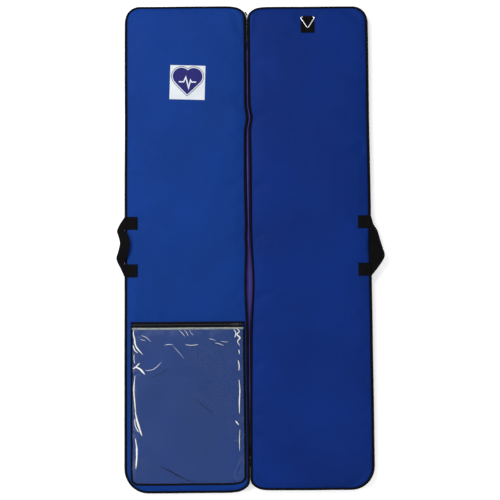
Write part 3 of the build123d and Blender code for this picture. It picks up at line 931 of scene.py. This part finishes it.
def make_pocket_zip():
    """Two tapes with a closed coil between them, standing a little off the panel."""
    row_low, row_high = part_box("pocket_zip_teeth")
    tape_width = (ZIP_HIGH.y - ZIP_LOW.y - (row_high.y - row_low.y)) / 2 + 1.2 * MM
    pieces = []
    for name, edge, way in (("lower", ZIP_LOW.y, 1), ("upper", ZIP_HIGH.y, -1)):
        y = edge + way * tape_width / 2
        path = [(ZIP_LOW.x, y), (ZIP_HIGH.x, y)]
        pieces.append(ribbon(f"pocket_tape_{name}", path, tape_width, 2.7 * MM, ZIP_TAPE, 6 * MM))
    for piece in pieces:
        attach(piece, "front_half")
    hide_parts("pocket_zip_tapes")
    pitch = 2.7 * MM
    count = int((row_high.x - row_low.x) / pitch)
    places = []
    for i in range(count):
        for way in (-1, 1):
            x = row_low.x + (i + 0.5 + way * 0.25) * pitch
            places.append((Vector((x, ZIP_Y, 0)), Vector((1, 0, 0)), Vector((0, way, 0))))
    stations = ((-0.6 * MM, 0.35 * MM), (0.4 * MM, 0.55 * MM), (2.8 * MM, 0.4 * MM))
    coil = teeth("pocket_coil", places, stations, row_low.z, row_high.z, ZIP_TEETH)
    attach(coil, "front_half")
    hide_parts("pocket_zip_teeth")


make_pocket()


# ---------------------------------------------------------------- webbing handles
def strap(name, sections, thickness, material, curl=0.0, per_span=7):
    """Webbing through (edge, edge) pairs of points, with a slight curl across its width."""
    flat = smooth_through([(*a, *b) for a, b in sections], per_span)
    pairs = [(Vector(s[:3]), Vector(s[3:])) for s in flat]
    columns = span(-1, 1, 0.25, 0.06)
    out = []
    for i, (a, b) in enumerate(pairs):
        before, after = pairs[max(0, i - 1)], pairs[min(len(pairs) - 1, i + 1)]
        along = (after[0] + after[1] - before[0] - before[1]).normalized()
        normal = along.cross(b - a).normalized()
        upper, lower = [], []
        for u in columns:
            half = thickness / 2 * (0.5 if abs(u) == 1 else 1.0)
            middle = a.lerp(b, (u + 1) / 2) - normal * curl * u * u
            upper.append(middle + normal * half)
            lower.append(middle - normal * half)
        out.append(upper + lower[::-1])
    return skin(name, out, material)


def edge_lines(sections, inset, lift, per_span=7):
    """Stitch lines a little inside both edges of a strap."""
    flat = smooth_through([(*a, *b) for a, b in sections], per_span)
    lines = [[], []]
    for s in flat:
        a, b = Vector(s[:3]), Vector(s[3:])
        step = (b - a).normalized() * inset
        lines[0].append(a + step + Vector((0, 0, lift)))
        lines[1].append(b - step + Vector((0, 0, lift)))
    return lines


# Each pair is an outer and an inner edge point of the webbing, in millimetres:
# distance out from the spine, distance along the case from the handle's middle, height.
HANDLES = {
    FRONT: [
        ((476.5, 117, 40.4), (476.5, 67, 40.4)),
        ((493, 92, 42), (477, 64, 42)),
        ((503, 71, 46), (472, 58, 46.5)),
        ((505, 58, 50), (465, 50, 50)),
        ((499, 40, 54), (459, 36, 54.5)),
        ((493, 14, 56.5), (454, 12, 57)),
        ((499, -16, 54), (459, -16, 54.5)),
        ((507, -42, 50), (465, -36, 50)),
        ((503, -60, 46), (472, -50, 46.5)),
        ((490, -86, 42), (477, -62, 42)),
        ((476.5, -117, 40.4), (476.5, -67, 40.4)),
    ],
    BACK: [
        ((476.5, 117, 40.4), (476.5, 67, 40.4)),
        ((487, 80, 42.5), (476, 66, 43)),
        ((500, 57, 46), (474, 52, 47)),
        ((509, 24, 50), (472, 23, 51)),
        ((519, -10, 52), (471, -9, 53)),
        ((527, -39, 50), (471, -36, 52)),
        ((517, -63, 46), (473, -54, 48)),
        ((499, -89, 43), (476, -66, 44)),
        ((476.5, -117, 40.4), (476.5, -67, 40.4)),
    ],
}


def patch_stitches(low, high, lift):
    """A box with a cross in it, the usual bar for sewn webbing."""
    (x0, y0), (x1, y1) = low, high
    box = [(x0, y0), (x1, y0), (x1, y1), (x0, y1), (x0, y0)]
    cross = ([(x0, y0), (x1, y1)], [(x0, y1), (x1, y0)])
    return [laid_line(line, lift) for line in (box, *cross)]


def make_handle(side, half):
    """Free webbing that bends at the panel's edge, and the two sewn patches that hold it."""
    sections = []
    for pair in HANDLES[side]:
        sections.append([drift((side * x * MM, HANDLE_Y + y * MM, z * MM)) for x, y, z in pair])
    webbing = strap(f"{half}_handle_webbing", sections, 2.4 * MM, WEBBING, curl=1.2 * MM)
    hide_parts(f"{half}_handle_strap")
    seams = edge_lines(sections[1:-1], 4 * MM, 1.1 * MM)
    thread = stitches(f"{half}_handle_stitches", seams, None, THREAD_BLACK)
    for piece in (webbing, thread):
        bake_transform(piece)
    patches, lines = [], []
    for number, middle in enumerate(PATCH_MIDDLES):
        path = [(side * PATCH_LOW.x, middle), (side * PATCH_HIGH.x, middle)]
        name = f"{half}_handle_patch_{number}"
        patch = ribbon(name, path, PATCH_LENGTH - 4 * MM, 2.6 * MM, WEBBING, 5 * MM)
        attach(patch, f"{half}_half")
        patches.append(patch)
        inset = 5 * MM
        low = (side * (PATCH_LOW.x + inset), middle - PATCH_LENGTH / 2 + 2 * MM + inset)
        high = (side * (FAR - inset), middle + PATCH_LENGTH / 2 - 2 * MM - inset)
        lines += patch_stitches(low, high, 2.7 * MM)
    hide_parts(f"{half}_handle_patches")
    stitches(f"{half}_patch_stitches", lines, f"{half}_half", THREAD_BLACK)


for half_side, half_name in HALVES:
    make_handle(half_side, half_name)


# ---------------------------------------------------------------- hanging ring
def make_ring():
    """Webbing folded round the ring's bar: under layer, loop, upper layer."""
    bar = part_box("hang_ring")
    axis_z = (bar[0].z + bar[1].z) / 2
    wire = (bar[1].z - bar[0].z) / 2
    axis_y = bar[1].y - wire
    loop = wire + 1.1 * MM
    base, upper_z = TOP + 0.7 * MM, TOP + 2.4 * MM
    wide, narrow = 26.5 * MM, 19 * MM
    profile = [(RING_LOW.y, base, wide), (axis_y - 14 * MM, base, wide), (axis_y - 5 * MM, base, narrow)]
    for degrees in (-60, -20, 20, 60, 100, 140):
        a = math.radians(degrees)
        profile.append((axis_y + loop * math.cos(a), axis_z + loop * math.sin(a), narrow))
    profile += [
        (axis_y - 6.5 * MM, axis_z + 0.6 * MM, narrow),
        (axis_y - 16 * MM, upper_z, wide),
        (RING_LOW.y, upper_z, wide),
    ]
    sections = [((RING_X - w, y, z), (RING_X + w, y, z)) for y, z, w in profile]
    webbing = strap("ring_webbing_fold", sections, 1.5 * MM, WEBBING, per_span=4)
    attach(webbing, "back_half")
    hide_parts("ring_webbing")
    low = (RING_X - wide + 5 * MM, RING_LOW.y + 5 * MM)
    high = (RING_X + wide - 5 * MM, RING_Y - 2 * MM)
    lift = upper_z + 0.9 * MM
    lines = [[Vector((p.x, p.y, lift)) for p in line] for line in patch_stitches(low, high, 0.0)]
    stitches("ring_patch_stitches", lines, "back_half", THREAD_BLACK)


make_ring()


# ---------------------------------------------------------------- label
def draped_copy(node, name, material, lift):
    """A flat printed CAD shape, cut finer and laid on the padded face."""
    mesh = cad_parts[node].data.copy()
    mesh.name = name
    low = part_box(node)[0].z
    work = bmesh.new()
    work.from_mesh(mesh)
    bmesh.ops.remove_doubles(work, verts=work.verts, dist=0.01 * MM)
    for _ in range(4):
        long_edges = [e for e in work.edges if e.calc_length() > 9 * MM]
        bmesh.ops.subdivide_edges(work, edges=long_edges, cuts=1)
        bmesh.ops.triangulate(work, faces=work.faces)
    for vertex in work.verts:
        rise = vertex.co.z - low
        vertex.co.z = ground(vertex.co.x, vertex.co.y) + lift + rise
    bmesh.ops.recalc_face_normals(work, faces=work.faces)
    work.to_mesh(mesh)
    work.free()
    mesh.materials.clear()
    mesh.materials.append(material)
    mesh.polygons.foreach_set("use_smooth", [False] * len(mesh.polygons))
    piece = bpy.data.objects.new(name, mesh)
    bpy.context.scene.collection.objects.link(piece)
    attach(piece, "front_half")
    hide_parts(node)
    return piece


def make_label():
    """White film with a heart, a pulse line and an outline printed on it."""
    for node, name, material, slot, lift in (
        ("label_base", "label_film", LABEL_WHITE, "label_white", 0.1),
        ("label_symbol", "label_heart", LABEL_NAVY, "label_navy", 0.65),
        ("label_pulse", "label_pulse_line", LABEL_WHITE, "label_white", 0.65),
        ("label_outline", "label_heart_outline", LABEL_GREY, "label_grey", 0.65),
    ):
        draped_copy(node, name, material, lift * MM)


make_label()


# ---------------------------------------------------------------- carried-over CAD nodes
def finish_cad_nodes():
    """Materials for the small pieces that keep their CAD shape."""
    for node, material in (
        ("hang_ring", CHROME),
        ("pocket_slider", SLIDER), ("top_slider", SLIDER), ("bottom_slider", SLIDER),
        ("pocket_pull_tab", SLIDER), ("top_pull_tab", SLIDER), ("bottom_pull_tab", SLIDER),
        ("pocket_zip_stops", SLIDER), ("spine_zip_stops", SLIDER), ("zip_tail", ZIP_TAPE),
    ):
        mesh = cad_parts[node].data
        for index in range(len(mesh.materials)):
            mesh.materials[index] = material


finish_cad_nodes()


# ---------------------------------------------------------------- floor
def make_floor():
    """White floor with a faint glow, so that shadows stay pale."""
    reach, level = 6.0, -0.4 * MM
    made = Material("floor_white", (0.86, 0.86, 0.86), 0.9, Specular_IOR_Level=0.0, Emission_Strength=0.34)
    made.shader.inputs["Emission Color"].default_value = (1, 1, 1, 1)
    made.vary_colour(made.noise(0.8), 0.99, 1.01)
    corners = [(-reach, -reach, level), (reach, -reach, level), (reach, reach, level), (-reach, reach, level)]
    make_mesh("floor", corners, [[0, 1, 2, 3]], made.material)


make_floor()
